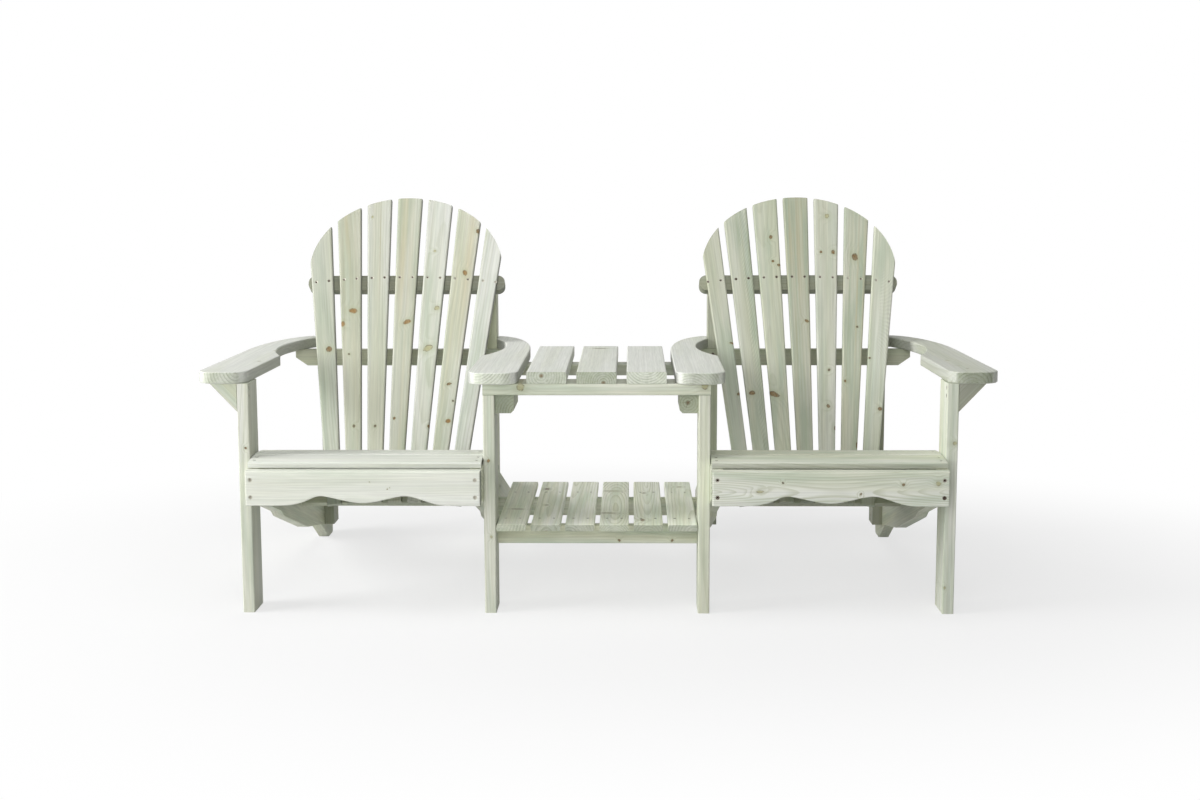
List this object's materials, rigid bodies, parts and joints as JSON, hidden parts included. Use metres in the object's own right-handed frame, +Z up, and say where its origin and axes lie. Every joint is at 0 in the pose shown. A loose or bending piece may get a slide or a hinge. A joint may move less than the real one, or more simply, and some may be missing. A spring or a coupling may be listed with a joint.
{
  "type": "double adirondack chair",
  "caption": "Double garden seat: reclined slatted adirondack chairs with fanned, arched backs and wide arms, joined by a slatted table with a shelf below.",
  "frame": {"origin": "on the ground, in the middle of the footprint's box", "axes": "+X along the width towards the right-hand chair as seen from the front, +Y from front to back, +Z up"},
  "size_m": [1.9072, 0.985, 0.9814],
  "materials": {
    "treated_pine": "planed pressure-treated pine, pale grey-green, unpainted",
    "screw_steel": "dulled zinc-plated countersunk screws"
  },
  "bodies": {
    "root": {"left_outer_front_leg": "treated_pine", "left_inner_front_leg": "treated_pine", "left_outer_stringer": "treated_pine", "left_inner_stringer": "treated_pine", "left_outer_back_post": "treated_pine", "left_inner_back_post": "treated_pine", "left_outer_arm": "treated_pine", "left_inner_arm": "treated_pine", "left_arm_bracket": "treated_pine", "left_apron": "treated_pine", "left_upper_back_rail": "treated_pine", "left_arm_back_rail": "treated_pine", "left_lower_back_rail": "treated_pine", "left_back_slat_1": "treated_pine", "left_back_slat_2": "treated_pine", "left_back_slat_3": "treated_pine", "left_back_slat_4": "treated_pine", "left_back_slat_5": "treated_pine", "left_back_slat_6": "treated_pine", "left_back_slat_7": "treated_pine", "left_seat_slats": "treated_pine", "left_corner_block": "treated_pine", "right_outer_front_leg": "treated_pine", "right_inner_front_leg": "treated_pine", "right_outer_stringer": "treated_pine", "right_inner_stringer": "treated_pine", "right_outer_back_post": "treated_pine", "right_inner_back_post": "treated_pine", "right_outer_arm": "treated_pine", "right_inner_arm": "treated_pine", "right_arm_bracket": "treated_pine", "right_apron": "treated_pine", "right_upper_back_rail": "treated_pine", "right_arm_back_rail": "treated_pine", "right_lower_back_rail": "treated_pine", "right_back_slat_1": "treated_pine", "right_back_slat_2": "treated_pine", "right_back_slat_3": "treated_pine", "right_back_slat_4": "treated_pine", "right_back_slat_5": "treated_pine", "right_back_slat_6": "treated_pine", "right_back_slat_7": "treated_pine", "right_seat_slats": "treated_pine", "right_corner_block": "treated_pine", "table_front_rail": "treated_pine", "table_back_rail": "treated_pine", "table_slat_1": "treated_pine", "table_slat_2": "treated_pine", "table_slat_3": "treated_pine", "shelf_front_rail": "treated_pine", "shelf_back_rail": "treated_pine", "shelf_slat_1": "treated_pine", "shelf_slat_2": "treated_pine", "shelf_slat_3": "treated_pine", "shelf_slat_4": "treated_pine", "shelf_slat_5": "treated_pine", "shelf_slat_6": "treated_pine", "slat_screws": "screw_steel", "frame_screws": "screw_steel"}
  },
  "joints": []
}
